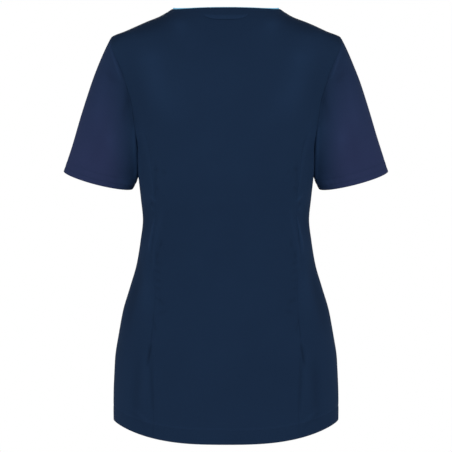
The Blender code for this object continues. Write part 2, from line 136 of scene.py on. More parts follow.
# The cloth
CLOTH = 0.7 * MM             # thickness that is drawn
LIFT = 0.15 * MM             # of its outer face, off the form
GAP = 0.06 * MM              # between two pieces at a seam
SEAM_DEPTH = 0.35 * MM       # how far a seam draws the cloth in
SEAM_WIDTH = 1.4 * MM
HEM_HEIGHT = 24 * MM         # the turned-up hem, edge to stitch line
SLEEVE_HEM_HEIGHT = 20 * MM
NECK_STITCH = 7 * MM         # stitch line below the neck edge
SLEEVE_EDGE_STITCH = 9 * MM  # the second row, near the sleeve's edge
SEAM_ALLOWANCE = 10 * MM     # turned in at each sewn edge
ALLOWANCE_STEPS = np.array((10, 6, 3, 0.8)) * MM     # from its seam, raw edge first
ALLOWANCE_GAP = 0.15 * MM
ALLOWANCE_CLOTH = 1.2 * MM
ALLOWANCE_ON_BODY = np.array((3, 0.8)) * MM     # beside an armhole
ALLOWANCE_UNDER_BODY = 1.1 * MM
HEM_AREA_SHARE = 0.9         # of the hem's height times the widest row
TAPE_WIDTH = 11 * MM
TAPE_CLOTH = 0.6 * MM
TAPE_ROWS = (1.0, 0.7, 0.4, 0.15)   # shares of its width below the neck edge
TAPE_DEPTH = 1.7 * MM        # of the tape's outer face, under the form
TAPE_INSET = 1.9 * MM        # inside the back neck edge
TAPE_PEEK = 0.95 * MM        # above it
TAPE_CORNER_PEEK = 2.2 * MM  # and at its corners
TAPE_CORNER_FROM = 60 * MM
TAPE_SLOPE_STEP = 2 * MM     # below the edge, to find the cloth's slope there
LOOP_WIDTH = 7.6 * MM
LOOP_HALF_LENGTH = 37 * MM
LOOP_Z = -21.2 * MM
LOOP_END_RISE = 5.0 * MM
LOOP_PAINTED_LIGHT = 0.19             # painted light: how much lighter it is than the back
LOOP_CLOTH = 0.55 * MM
LOOP_GAP = 0.12 * MM
LOOP_SLACK = 0.5 * MM        # how far its middle stands off the back
LOOP_CROWN = 0.15 * MM
LOOP_TAPER = 0.75            # how much narrower its ends are sewn
LOOP_POWER = 4               # how late it narrows and rises towards its ends
TACK_COLUMN = 2              # where its end stitches are, in columns from each end

# Thread
THREAD = 0.22 * MM           # radius
STITCH_LENGTH = 2.3 * MM
STITCH_PITCH = 3.1 * MM
STITCH_SIDES = 6
STITCH_PROFILE = ((0.0, 0.35), (0.14, 0.85), (0.5, 1.0), (0.86, 0.85), (1.0, 0.35))
STITCH_SINK = 0.4            # share of the radius that lies in the cloth

# Colours in linear RGB, and finish
NAVY = (0.0093, 0.0222, 0.0519)
# painted light: a lighter, more violet navy where light falls, out and down the sleeves
SLEEVE_PAINTED_LIGHT_NAVY = (0.0205, 0.0296, 0.0780)
TAPE_BLUE = (0.1878, 0.5149, 0.7529)
THREAD_NAVY = (0.014, 0.029, 0.066)
CLOTH_ROUGHNESS = 0.85
CLOTH_SPECULAR = 0.02
THREAD_ROUGHNESS = 0.6
TWILL_PITCH = 0.9 * MM
TAPE_PITCH = 0.7 * MM
WAVE_UNIT = 0.314            # pitch of Blender's wave texture at scale 1
WEAVE_HEIGHT = 0.08 * MM
WEAVE_STRENGTH = 0.5
WEAVE_DISTORTION = 0.6
YARN_PITCHES = 2.2           # size of the yarn's unevenness, in pitches
YARN_SHARE = 0.8             # and its height, beside the weave's
YARN_DETAIL = 2.0
FOLD_PAINTED_SHADING = 0.10             # painted highlight and shade: how much lighter a ridge is, for each millimetre of its height
FLECK = 0.14                 # how far the yarns differ from the cloth's colour
TONE = 0.04                  # and how far the tone drifts
TONE_SCALE = 9.0
TONE_DETAIL = 3.0
TONE_NOISE = (0.3, 0.7)      # the noise's usual range
COLOUR_A, COLOUR_B, COLOUR_RESULT = 6, 7, 2     # colour sockets of the Mix node
PAINTED_LIGHT_FROM_X = 150 * MM      # painted light: the sleeves' colour drifts from NAVY to SLEEVE_PAINTED_LIGHT_NAVY
PAINTED_LIGHT_TO_X = 210 * MM        # outwards
PAINTED_LIGHT_FROM_Z = -30 * MM      # and down
PAINTED_LIGHT_TO_Z = -250 * MM

# Stage: the photograph's view is level, from behind
CAMERA_DISTANCE = 3.3
CAMERA_Z = -0.368
METRES_PER_PIXEL = 0.0017    # at the side seams
IMAGE_SIDE = 452
SENSOR = 36.0
FLOOR_Z = -1.45              # where a wearer would stand
FLOOR_RADIUS = 4.0
FLOOR_SIDES = 64
FLOOR_GREY = 0.82
FLOOR_ROUGHNESS = 0.9
WALL_LIGHT = 1.0
DIM_LIGHT = 0.4
WALL_TO = 14                 # degrees above and below the horizon
WALL_FADES_TO = 40
LIGHT_TARGET = (0, 0, -0.35)
SOFTBOX_SIZE = 1.4
SOFTBOXES = (                # each with its place and watts
    ("softbox", (-2.5, 2.0, 0.4), 27),
    ("softbox", (2.5, 2.0, 0.4), 27),
    ("front_softbox", (0, -2.8, 0.4), 60),
)


# ---------------- curves

def mix(low, high, share):
    return low + (high - low) * share


def unit(vectors):
    return vectors / np.linalg.norm(vectors, axis=-1, keepdims=True)


def smooth(share):
    """Eases from 0 to 1."""
    share = np.clip(share, 0, 1)
    return share * share * (3 - 2 * share)


def table_curve(table, names, name, scale=MM):
    """A smooth curve through a table's values by height, which never swings past them."""
    rows = [dict(zip(names, row)) for row in reversed(table)]
    xs = np.array([row["height"] for row in rows]) * MM
    ys = np.array([row[name] for row in rows]) * scale
    gaps = np.diff(xs)
    rises = np.diff(ys) / gaps
    before, after = rises[:-1], rises[1:]
    same_way = before * after > 0
    total = np.where(same_way, before + after, 1.0)
    inner = np.where(same_way, 2 * before * after / total, 0.0)
    slopes = np.concatenate([rises[:1], inner, rises[-1:]])

    def curve(x):
        x = np.clip(x, xs[0], xs[-1])
        i = np.clip(np.searchsorted(xs, x) - 1, 0, len(gaps) - 1)
        t = (x - xs[i]) / gaps[i]
        start = (1 + 2 * t) * (1 - t) ** 2 * ys[i] + t * (1 - t) ** 2 * gaps[i] * slopes[i]
        end = t * t * (3 - 2 * t) * ys[i + 1] + t * t * (t - 1) * gaps[i] * slopes[i + 1]
        return start + end

    return curve


half_width = table_curve(TORSO, TORSO_COLUMNS, "half_width")
section_depth = {side: table_curve(TORSO, TORSO_COLUMNS, side) for side in ("back", "front")}
roundness = table_curve(TORSO, TORSO_COLUMNS, "roundness", 1)
princess_x = table_curve(PRINCESS, PRINCESS_COLUMNS, "x")


def hem_z(x):
    return HEM_CENTRE_Z + HEM_RISE * (np.abs(x) / half_width(HEM_CENTRE_Z)) ** HEM_POWER


# ---------------- torso form

def rounded(share, power):
    """How deep a superellipse is at a share of its half width."""
    return (1 - share ** power) ** (1 / power)


def depth_at(side, x, z):
    depth = section_depth[side](z)
    for row in FULLNESS:
        bump = dict(zip(FULLNESS_COLUMNS, row))
        if bump["side"] == side:
            across = (np.abs(x) - bump["x"] * MM) / (bump["spread_x"] * MM)
            up = (z - bump["z"] * MM) / (bump["spread_z"] * MM)
            depth = depth * (1 + bump["share"] * np.exp(-across * across - up * up))
    return depth


def side_share(x, z):
    """How far out a width is, 0 at the centre and 1 at the side.

    Inside the outline, the bend at the shoulder's height is eased.
    """
    share = np.abs(x) / half_width(z)
    eased = sum(half_width(z + step * MM) * weight for step, weight in SHOULDER_EASE)
    ease = smooth((EASE_FROM - share) / EASE_OVER) * smooth((z - EASE_LOW) / (EASE_FULL - EASE_LOW))
    return mix(share, np.abs(x) / eased, ease)


def torso_points(side, x, z):
    y = depth_at(side, x, z) * rounded(np.minimum(side_share(x, z), 1.0), roundness(z))
    return np.stack([x, y if side == "back" else -y, z], axis=-1)


def section_value(side, points):
    x, y, z = points[..., 0], points[..., 1], points[..., 2]
    n = roundness(z)
    return side_share(x, z) ** n + (np.abs(y) / depth_at(side, x, z)) ** n - 1


def torso_normals(side, points):
    """Outward directions, from how the section formula changes."""
    slopes = [section_value(side, points + move) - section_value(side, points - move)
              for move in np.eye(3) * SLOPE_STEP]
    return unit(np.stack(slopes, axis=-1))


def turn_at(x, z):
    """Angle round the section at a width: 0 at the side, a quarter turn at the centre."""
    return np.arccos(np.minimum(x / half_width(z), 1.0) ** (roundness(z) / 2))


def width_at(turn, z):
    return half_width(z) * np.cos(turn) ** (2 / roundness(z))


def armhole_points(side, angle):
    """Angle -90 degrees is under the arm, +90 is the shoulder."""
    z = ARMHOLE_MID_Z + ARMHOLE_HALF_HEIGHT * np.sin(angle)
    y = ARMHOLE_DEPTH[side] * rounded(np.minimum(np.abs(np.sin(angle)), 1.0), ARMHOLE_ROUNDNESS)
    x = half_width(z)
    for _ in range(WIDTH_ROUNDS):
        x = half_width(z) * rounded(y / depth_at(side, x, z), roundness(z))
    return np.stack([x, y if side == "back" else -y, z], axis=-1)


PRINCESS_ANGLE = math.asin((PRINCESS_TOP_Z - ARMHOLE_MID_Z) / ARMHOLE_HALF_HEIGHT)


# ---------------- creases

# Each stroke runs along a short path of places seen from behind or from the front,
# for the wearer's left. "mirror" is how strong its twin on the right is. A crease's
# strength is its height: a soft ridge, or a trough where it is negative. A shade paints
# light where it is positive and shade where it is negative; its strength is how much
# lighter it paints the cloth, in percent.
STROKE_COLUMNS = ("strength", "width", "mirror", "path")
STROKE_END = 0.35            # strength at a path's ends, beside its middle's
STROKE_POWER = 0.7           # below 1, it stays strong for longer

BACK_CREASES = (
    # along the upper princess seam
    (0.6, 2.6, 0.95, ((134, -232), (128.4, -258), (124.3, -283), (121.1, -308), (119.5, -323))),
    (-0.7, 2.4, 0.95, ((117.3, -258), (117.8, -291), (118.4, -318))),
    (-1.2, 3.2, 0.9, ((115.6, -271), (115.4, -276))),
    (-1.0, 3.2, 0.8, ((104.5, -277), (103, -280))),
    (-1.2, 3.0, 0.9, ((115.0, -304), (115.0, -309))),
    # the strong pucker at the waist, and the small ones around it
    (2.2, 2.2, 1.0, ((126.5, -316), (122, -322), (118, -328))),
    (-1.2, 2.6, 1.0, ((126, -328), (122.5, -332))),
    (1.8, 1.8, 0.9, ((124.5, -338), (120, -341.5))),
    (-0.4, 2.2, 0.9, ((121.5, -346), (121.4, -350))),
    # below the waist
    (0.9, 4.0, 0.95, ((106, -338), (111, -362), (117, -386), (120.4, -404))),
    (2.2, 2.4, 0.95, ((118.8, -356), (123.6, -381), (127, -395), (128, -411))),
    (1.0, 2.4, 0.9, ((121, -396), (121.2, -420), (121.5, -444))),
    (-1.2, 2.4, 0.9, ((108, -393), (109.5, -402))),
    (-1.2, 2.4, 0.9, ((115, -412), (115.4, -421))),
    (-1.0, 2.2, 0.9, ((119, -427), (109, -431))),
    (-1.0, 2.2, 0.85, ((119, -441), (109, -445))),
    (-0.9, 2.2, 0.9, ((118.6, -455), (109, -460))),
    (-0.9, 2.2, 0.85, ((118.4, -469), (109, -473))),
    (-1.0, 2.6, 0.95, ((115, -487), (103.5, -496))),
    (-0.9, 2.6, 0.9, ((111, -512), (98.5, -508))),
    (1.4, 13, 1.0, ((133, -440), (132, -475), (133, -512))),
    # hip: seam line, its branch, the dark lens and the long crease
    (-0.3, 2.2, 1.0, ((121, -507), (122.4, -540), (124, -560))),
    (-0.9, 2.0, 0.9, ((121, -520), (118.3, -532), (115.5, -543))),
    (-2.2, 2.1, 1.0, ((124.8, -564), (127.4, -582), (130.6, -598))),
    (-1.2, 2.4, 1.0, ((125.5, -588), (124, -612), (122.6, -640), (121.6, -672))),
    # folds of the side panel
    (-1.6, 8, 1.0, ((146.8, -429), (146, -458), (159, -496), (166, -539))),
    (-1.1, 7, 1.0, ((146, -590), (149, -640), (151, -690))),
    (0.5, 7, 1.0, ((132.4, -581), (133.9, -623), (135.6, -656))),
    (0.8, 3.2, 1.0, ((152, -671), (140, -682), (129, -690))),
    (-0.5, 4.0, 1.0, ((148, -684), (138, -693), (128, -699))),
    # shoulder blade and yoke
    (1.4, 22, 1.0, ((140, -68), (122.6, -105), (110, -148), (92, -180))),
    (1.2, 10, 1.0, ((88, -26), (66, -37))),
    # along the lower armhole
    (0.6, 5, 1.0, ((141, -190), (138.5, -216), (136, -243))),
)
FRONT_CREASES = (
    (1.2, 16, 0.9, ((150, -118), (128, -160), (112, -200))),
    (-1.3, 9, 0.85, ((146, -150), (132, -186), (124, -212))),
    (-1.3, 8, 0.9, ((70, -316), (92, -342), (126, -352))),
    (1.3, 9, 0.85, ((74, -336), (98, -360), (130, -372))),
    (-1.0, 7, 0.8, ((60, -372), (84, -380), (118, -388))),
    (-2.0, 12, 1.0, ((104, -560), (112, -610), (118, -665))),
    (1.6, 11, 0.9, ((86, -570), (92, -620), (96, -680))),
    (-1.3, 12, 0.8, ((38, -590), (44, -640), (46, -700))),
    (1.2, 8, 0.9, ((150, -672), (138, -688), (124, -702))),
    (-1.2, 9, 0.8, ((34, -180), (52, -150), (74, -112))),
)
DART = ((147, -306), (132, -292), (112, -275), (97, -262))    # side seam to its tip
SLEEVE_BACK_CREASES = (
    # the ridge and the shadow beside the armhole seam
    (2.4, 3.0, 1.0, ((195, -62), (185, -92), (176, -119))),
    (-0.7, 4.2, 1.0, ((170, -116), (164.5, -142), (160, -168), (156.5, -200), (154, -222))),
    (-0.7, 3.0, 1.0, ((161, -157), (161.5, -163))),
    # soft folds down the sleeve
    (0.6, 9, 1.0, ((207, -120), (214, -170), (222, -225))),
    (0.6, 8, 0.9, ((193, -200), (191, -226), (188, -252))),
)
SLEEVE_FRONT_CREASES = (
    (-1.6, 6, 0.9, ((186, -120), (178, -160), (176, -200))),
    (1.2, 8, 0.9, ((206, -130), (212, -180), (220, -240))),
    (-1.0, 8, 1.0, ((238, -165), (244, -210), (250, -255))),
)

# Painted light and painted shade: lighter and darker places that come from how the cloth turns
BACK_PAINTED_SHADES = (
    # under the shoulder seam
    (-20, 15, 1.0, ((158, -42), (146, -37), (126, -30), (106, -21), (92, -8))),
    (-22, 8, 1.0, ((196, -60), (186, -51), (168, -45))),
    # over the shoulder blade and beside it
    (7, 17, 1.0, ((125, -78), (117, -98))),
    (6, 18, 1.0, ((86, -38), (62, -52))),
    (-5, 15, 1.0, ((158, -95), (146, -140), (134, -190))),
    # the side panel, beside the seam at the waist
    (4, 7, 1.0, ((133, -370), (132, -410), (130, -440))),
    # the side of the waist
    (-12, 7, 1.0, ((137, -330), (134, -358), (138, -392))),
    # beside the sleeve
    (28, 5, 1.0, ((151, -205), (149, -235), (148, -262), (147.5, -300))),
)
SLEEVE_PAINTED_SHADES = (
    # the inner side, where light comes back from the body
    (40, 8, 1.0, ((157, -195), (154, -225), (153, -285))),
    (70, 3.5, 1.0, ((154, -206), (153, -250), (153, -296))),
    (120, 3.5, 1.0, ((145, -243), (153, -280), (154, -335))),
    (30, 14, 1.0, ((164, -250), (163, -290), (163, -330))),
    (55, 11, 1.0, ((183, -298), (165, -295), (146, -292))),
    (-16, 6, 1.0, ((163, -138), (165, -156), (170, -178), (168, -194))),
    (8, 20, 1.0, ((172, -190), (170, -225), (172, -262))),
    # soft patches of the cap and the lower sleeve
    (-12, 6, 1.0, ((199, -108), (192, -118), (184, -128))),
    (6, 9, 1.0, ((210, -84), (204, -98))),
    (-8, 12, 1.0, ((220, -205), (216, -235), (222, -262))),
    (5, 10, 1.0, ((196, -212), (190, -232))),
)


def path_distance(x, z, path):
    """Distance to a path, and how far along it the nearest point is, from 0 to 1."""
    path = np.array(path) * MM
    lengths = np.linalg.norm(np.diff(path, axis=0), axis=1)
    total = lengths.sum()
    best = np.full(np.shape(x), np.inf)
    along = np.zeros(np.shape(x))
    travelled = 0.0
    for start, end, length in zip(path, path[1:], lengths):
        step = (end - start) / length
        t = np.clip((x - start[0]) * step[0] + (z - start[1]) * step[1], 0, length)
        away = np.hypot(x - start[0] - t * step[0], z - start[1] - t * step[1])
        closer = away < best
        best = np.where(closer, away, best)
        along = np.where(closer, (travelled + t) / total, along)
        travelled += length
    return best, along


def strokes(x, z, table):
    """The sum of all strokes of one side, each strongest at the middle of its path."""
    total = np.zeros(np.shape(x))
    for row in table:
        stroke = dict(zip(STROKE_COLUMNS, row))
        strength = stroke["strength"] * np.where(x >= 0, 1.0, stroke["mirror"])
        away, along = path_distance(np.abs(x), z, stroke["path"])
        taper = mix(STROKE_END, 1.0, np.sin(math.pi * np.clip(along, 0, 1)) ** STROKE_POWER)
        total += strength * taper * np.exp(-(away / (stroke["width"] * MM)) ** 2)
    return total


# ---------------- cloth grids

PANEL_ROWS = 225
SHOULDER_ROWS = 34
BACK_ARMHOLE_ROWS = 70
FRONT_ARMHOLE_ROWS = 90
BACK_COLUMNS = 74            # half a row, centre to edge
FRONT_COLUMNS = 66
SIDE_COLUMNS = 44
SLEEVE_ROWS = 110
SLEEVE_COLUMNS = 150
FORM_SAMPLES = 300           # along a row, to measure it
ROW_CROWDING = 1.25          # above 1, the rows are closer at the hem
COLUMN_CROWDING = 1.35       # above 1, the columns are closer at the seams
SIDE_CROWDING = 0.7          # 0 is evenly spaced, 1 is crowded at both seams
BELOW_ARMHOLE = slice(0, PANEL_ROWS - 3)             # rows that a long seam joins
SHOULDER_SEAM = slice(1 - SHOULDER_ROWS, -5)         # rows that the shoulder seam joins
BELOW_BICEPS = slice(80, None)       # rows of the sleeve, from level with the underarm
CREASE_FADE = 14 * MM        # creases die out this far from a side or armhole seam
WAVINESS = 0.09 * MM
WAVES = ((61, 83, 0.3), (-47, 71, 1.9), (97, 38, 4.1), (31, -53, 2.6))  # per x, per z, phase
STITCH_DEPTH = 0.5 * MM
STITCH_WIDTH = 1.5 * MM
DART_DEPTH = 1.2 * MM
# painted shade along the dart
DART_PAINTED_SHADE = 0.2
DART_FADE = 4.0              # above 1, how soon the dart is at its full depth from its tip
HEM_RIPPLE = 0.12 * MM
HEM_RIPPLE_LENGTH = 9 * MM
HEM_RIPPLE_MIDDLE = 0.6      # share of the hem's height
HEM_RIPPLE_SPREAD = 0.45
HEM_PAINTED_SHADE = 0.035             # painted shade: how much darker the hem is than the cloth above it
HEM_EDGE_PAINTED_HIGHLIGHT = 0.11         # and a painted highlight: how much lighter its upper edge
HEM_EDGE_RISE = 1.2 * MM     # of that edge, above the stitch line
SLEEVE_FACING = 2.5          # how fast back and front folds die out at the sleeve's edge
LOOP_COLUMNS = 60
LOOP_ROWS = 8
SHARP_ANGLE = 50             # degrees


def waviness(x, z):
    """The slight unevenness of cloth that hangs, the same on every run."""
    return WAVINESS * sum(np.sin(x * per_x + z * per_z + phase) for per_x, per_z, phase in WAVES)


def crowd(shares, power):
    """Moves shares from 0 to 1 closer together towards 1."""
    return 1 - (1 - shares) ** power


def row_lengths(points):
    """Length along each row of points up to each column."""
    steps = np.linalg.norm(np.diff(points, axis=1), axis=2)
    start = np.zeros((len(points), 1))
    return np.concatenate([start, np.cumsum(steps, axis=1)], axis=1)


def column_lengths(points):
    """Length up each column of points to each row."""
    return row_lengths(points.transpose(1, 0, 2)).T


def panel_rows(side):
    """Edge width, edge height, centre height and curve of each row, hem to neck."""
    foot_z, foot_angle, armhole_rows, edge_x_at, neck_centre_z = {
        "back": (PRINCESS_TOP_Z, PRINCESS_ANGLE, BACK_ARMHOLE_ROWS, princess_x, BACK_NECK_Z),
        "front": (UNDERARM_Z, -math.pi / 2, FRONT_ARMHOLE_ROWS, half_width, V_NECK_Z),
    }[side]
    neck_power = NECK_POWER[side]
    top_power = mix(ROW_POWER, neck_power, NECK_POWER_AT_SHOULDER[side])
    # centre height and curve of the rows at four levels
    hem = np.array((HEM_CENTRE_Z, HEM_POWER))
    foot = np.array((ARMHOLE_FOOT_CENTRE_Z[side], ROW_POWER))
    top = np.array((ARMHOLE_TOP_CENTRE_Z[side], top_power))
    neck = np.array((neck_centre_z, neck_power))

    def rows(x, z, low, high, share):
        return np.column_stack([x, z, mix(low, high, share[:, None])])

    share = np.linspace(0, 1, PANEL_ROWS + 1) ** ROW_CROWDING
    z = mix(hem_z(edge_x_at(hem_z(edge_x_at(HEM_CENTRE_Z)))), foot_z, share)
    below = rows(edge_x_at(z), z, hem, foot, share)
    x, _, z = armhole_points(side, np.linspace(foot_angle, math.pi / 2, armhole_rows + 1)[1:]).T
    beside = rows(x, z, foot, top, (z - foot_z) / (SHOULDER_Z - foot_z))
    share = np.linspace(0, 1, SHOULDER_ROWS + 1)[1:]
    z = mix(SHOULDER_Z, 0.0, share)
    return np.concatenate([below, beside, rows(half_width(z), z, top, neck, share)])


def centred_grid(side, columns):
    """Widths and heights of a panel's points, from its right edge to its left."""
    samples = np.sin(np.linspace(0, math.pi / 2, FORM_SAMPLES))
    shares = crowd(np.linspace(0, 1, columns + 1), COLUMN_CROWDING)
    xs, zs = [], []
    for edge_x, edge_z, centre_z, power in panel_rows(side):
        z = mix(centre_z, edge_z, samples ** power)
        points = torso_points(side, samples * edge_x, z)
        lengths = row_lengths(points[None])[0]
        across = np.interp(shares * (lengths[-1] - GAP), lengths, samples)
        xs.append(across * edge_x)
        zs.append(mix(centre_z, edge_z, across ** power))
    xs, zs = np.array(xs), np.array(zs)
    both_x = np.concatenate([-xs[:, :0:-1], xs], axis=1)
    return both_x, np.concatenate([zs[:, :0:-1], zs], axis=1)


def side_back_grid():
    """Widths and heights from the princess seam out to the side seam, hem to armhole."""
    top = armhole_points("back", np.linspace(PRINCESS_ANGLE, -math.pi / 2, SIDE_COLUMNS + 1))
    turns = turn_at(top[:, 0], top[:, 2])
    seam_hem_z = hem_z(princess_x(HEM_CENTRE_Z))
    side_hem_z = hem_z(half_width(HEM_CENTRE_Z))
    hem_turns = turn_at(princess_x(seam_hem_z), seam_hem_z) * turns / turns[0]
    hem_fall = (hem_z(width_at(hem_turns, HEM_CENTRE_Z)) - seam_hem_z) / (side_hem_z - seam_hem_z)
    top_fall = (top[:, 2] - PRINCESS_TOP_Z) / (UNDERARM_Z - PRINCESS_TOP_Z)
    even = np.linspace(0, 1, SIDE_COLUMNS + 1)
    shares = mix(even, 0.5 - 0.5 * np.cos(math.pi * even), SIDE_CROWDING)
    xs, zs = [], []
    for share in np.linspace(0, 1, PANEL_ROWS + 1) ** ROW_CROWDING:
        seam_z = mix(seam_hem_z, PRINCESS_TOP_Z, share)
        side_z = mix(side_hem_z, UNDERARM_Z, share)
        z = mix(seam_z, side_z, mix(hem_fall, top_fall, share))
        x = width_at(turn_at(princess_x(seam_z), seam_z) * turns / turns[0], z)
        lengths = row_lengths(torso_points("back", x, z)[None])[0]
        places = mix(GAP, lengths[-1] - GAP, shares)
        xs.append(np.interp(places, lengths, x))
        zs.append(np.interp(places, lengths, z))
    return np.array(xs), np.array(zs)


def valley(distance, depth=SEAM_DEPTH, width=SEAM_WIDTH):
    return -depth * np.exp(-(distance / width) ** 2)


def shell_faces(points, normals, relief, folded):
    """The outer and inner face of cloth that stands off its form by its relief."""
    outer = points + normals * (LIFT + relief)[..., None]
    return outer, outer - normals * np.where(folded, 2 * CLOTH, CLOTH)[..., None]


def hem_relief(from_hem, along, height):
    """The stitch line of a turned-up hem, and the slight ripple under it."""
    line = valley(from_hem - height, STITCH_DEPTH, STITCH_WIDTH)
    within = np.exp(-((from_hem / height - HEM_RIPPLE_MIDDLE) / HEM_RIPPLE_SPREAD) ** 2)
    return line + within * HEM_RIPPLE * np.sin(along * 2 * math.pi / HEM_RIPPLE_LENGTH)


def hem_painted_shading(from_hem, height):
    """Painted shade on a hem, a little darker than the cloth above it, and a painted highlight on
    its upper edge.
    """
    edge = HEM_EDGE_PAINTED_HIGHLIGHT * np.exp(-((from_hem - height - HEM_EDGE_RISE) / STITCH_WIDTH) ** 2)
    return edge - HEM_PAINTED_SHADE * smooth((height - from_hem) / STITCH_WIDTH)


def torso_cloth(side, x, z, sewn_top=False):
    """Faces, measures and shape of one body panel.

    Both ends of its rows are sewn. Its last row is the neck edge, unless sewn_top.
    """
    points = torso_points(side, x, z)
    normals = torso_normals(side, points)
    along = row_lengths(points)
    up = column_lengths(points)
    from_end, from_top = along[:, -1:] - along, up[-1] - up
    creases, painted_shades = (BACK_CREASES, BACK_PAINTED_SHADES) if side == "back" else (FRONT_CREASES, ())
    folds = strokes(x, z, creases) * smooth(np.abs(points[..., 1]) / CREASE_FADE)
    # painted highlight on the creases' ridges, painted shade in their troughs, and painted light
    # and shade from the table
    painted_shading = folds * FOLD_PAINTED_SHADING + strokes(x, z, painted_shades) / 100
    relief = folds * MM + waviness(x, z)
    if side == "front":
        away, along_dart = path_distance(np.abs(x), z, DART)
        dart = smooth((1 - along_dart) * DART_FADE)
        relief = relief + valley(away, DART_DEPTH, SEAM_WIDTH) * dart
        # painted shade along the dart
        painted_shading = painted_shading - DART_PAINTED_SHADE * np.exp(-(away / SEAM_WIDTH) ** 2) * dart
    relief = relief + valley(along + GAP) + valley(from_end + GAP)
    folded = up < HEM_HEIGHT
    if sewn_top:
        relief = relief * smooth(from_top / CREASE_FADE) + valley(from_top)
    else:
        relief = relief + valley(from_top - NECK_STITCH, STITCH_DEPTH, STITCH_WIDTH)
        folded = folded | (from_top < NECK_STITCH)
    relief = relief + hem_relief(up, along, HEM_HEIGHT)
    # painted shade on the hem, and a painted highlight along its upper edge
    painted_shading = painted_shading + hem_painted_shading(up, HEM_HEIGHT)
    outer, inner = shell_faces(points, normals, relief, folded)
    return {"outer": outer, "inner": inner, "normals": normals, "along": along, "up": up,
            "from_top": from_top, "form": points, "painted_shading": painted_shading}


# ---------------- sleeve

def clear_of_torso(points):
    """Moves sleeve points out to where they just clear the side of the torso."""
    x, y, z = points[..., 0], points[..., 1], points[..., 2]
    fade = np.clip((CLEAR_FROM_Z - z) / (CLEAR_FROM_Z - CLEAR_FULLY_Z), 0, 1)
    depth = np.where(y > 0, depth_at("back", x, z), depth_at("front", x, z))
    share = np.minimum(np.abs(y) / depth, 1.0)
    limit = half_width(z) * rounded(share, roundness(z)) + SLEEVE_CLEARANCE
    moved = points.copy()
    moved[..., 0] += np.maximum(limit - x, 0.0) * fade
    return moved


def armhole_edge(around):
    """Points round the left armhole, with directions out of the body and into the hole."""
    angles = np.linspace(math.pi / 2, -math.pi / 2, FORM_SAMPLES)
    halves = []
    for side, there in (("back", around < 0), ("front", around >= 0)):
        lengths = row_lengths(armhole_points(side, angles)[None])[0]
        at = np.interp(np.abs(around[there]), lengths / lengths[-1], angles)
        points = armhole_points(side, at)
        normals = torso_normals(side, points)
        inward = np.stack([0 * at, -points[:, 1], ARMHOLE_MID_Z - points[:, 2]], axis=1)
        inward -= normals * np.sum(inward * normals, axis=1, keepdims=True)
        halves.append((points, normals, unit(inward)))
    return [np.concatenate(pair) for pair in zip(*halves)]


def sleeve_form(around):
    """Points of the left sleeve, armhole to hem, round from under the arm by the back."""
    edge, normals, inward = armhole_edge(around)
    start = edge + GAP * (normals + inward)
    turns = -around * math.pi
    out = CUFF_OUT * np.cos(turns)[:, None]
    back = CUFF_BACK * np.sin(turns)[:, None]
    end = CUFF_CENTRE + out + back
    radial = unit(out + back)
    outward = (0.5 + 0.5 * np.cos(turns))[:, None]
    rows = []
    for s in np.linspace(0, 1, SLEEVE_ROWS + 1) ** ROW_CROWDING:
        fullness = CAP_BULGE * s * (1 - s) ** 2 / CAP_BULGE_PEAK
        row = mix(start, end, s) + fullness * outward * radial
        row[:, 0] -= (UNDERARM_DIP * (1 - outward) ** 3 * 4 * s * (1 - s))[:, 0]
        rows.append(clear_of_torso(row) if s > 0 else row)
    return np.array(rows), turns


def grid_normals(points, outward):
    """Directions square to a grid, on the side that outward points to."""
    down = np.gradient(points, axis=0)
    across = np.gradient(points, axis=1)
    normals = unit(np.cross(down, across))
    flip = np.sign(np.sum(normals * outward, axis=-1, keepdims=True))
    return normals * flip


def sleeve_cloth(mirror):
    around = np.linspace(-1, 1, SLEEVE_COLUMNS + 1)
    points, turns = sleeve_form(around)
    middle = points.mean(axis=1, keepdims=True)
    normals = grid_normals(points, points - middle)
    along = row_lengths(points)
    down = column_lengths(points)
    from_hem = down[-1] - down
    x, z = points[..., 0] * (-1 if mirror else 1), points[..., 2]
    facing = np.sin(turns)[None, :]
    to_back, to_front = smooth(facing * SLEEVE_FACING), smooth(-facing * SLEEVE_FACING)
    folds = strokes(x, z, SLEEVE_BACK_CREASES) * to_back
    folds = folds + strokes(x, z, SLEEVE_FRONT_CREASES) * to_front
    # painted highlight on the creases' ridges, painted shade in their troughs, and painted light
    # and shade on the sleeve's back
    painted_shading = folds * FOLD_PAINTED_SHADING + strokes(x, z, SLEEVE_PAINTED_SHADES) * to_back / 100
    relief = folds * smooth(down / (CREASE_FADE / 2)) * MM + waviness(x, z)
    relief = relief + valley(down) + valley(along) + valley(along[:, -1:] - along)
    relief = relief + hem_relief(from_hem, along, SLEEVE_HEM_HEIGHT)
    relief = relief + valley(from_hem - SLEEVE_EDGE_STITCH, STITCH_DEPTH, STITCH_WIDTH)
    outer, inner = shell_faces(points, normals, relief, from_hem < SLEEVE_HEM_HEIGHT)
    edge, out_of_body, inward = armhole_edge(around)
    beside = [edge - inward * away for away in ALLOWANCE_ON_BODY]
    cloth = {"outer": outer, "inner": inner, "normals": normals, "along": along,
             "up": from_hem, "form": points, "painted_shading": painted_shading,
             "body_edge": np.array(beside) - out_of_body * ALLOWANCE_UNDER_BODY,
             "body_normals": np.stack([out_of_body] * len(beside))}
    return mirrored_cloth(cloth) if mirror else cloth


def mirrored(grid):
    """A grid of places, directions or measures, for the wearer's right."""
    grid = grid[:, ::-1]
    return grid * (-1, 1, 1) if grid.ndim == 3 else grid


def mirrored_cloth(cloth):
    return {name: mirrored(grid) for name, grid in cloth.items()}


# ---------------- pieces

def new_object(name, data):
    made = bpy.data.objects.new(name, data)
    bpy.context.scene.collection.objects.link(made)
    return made


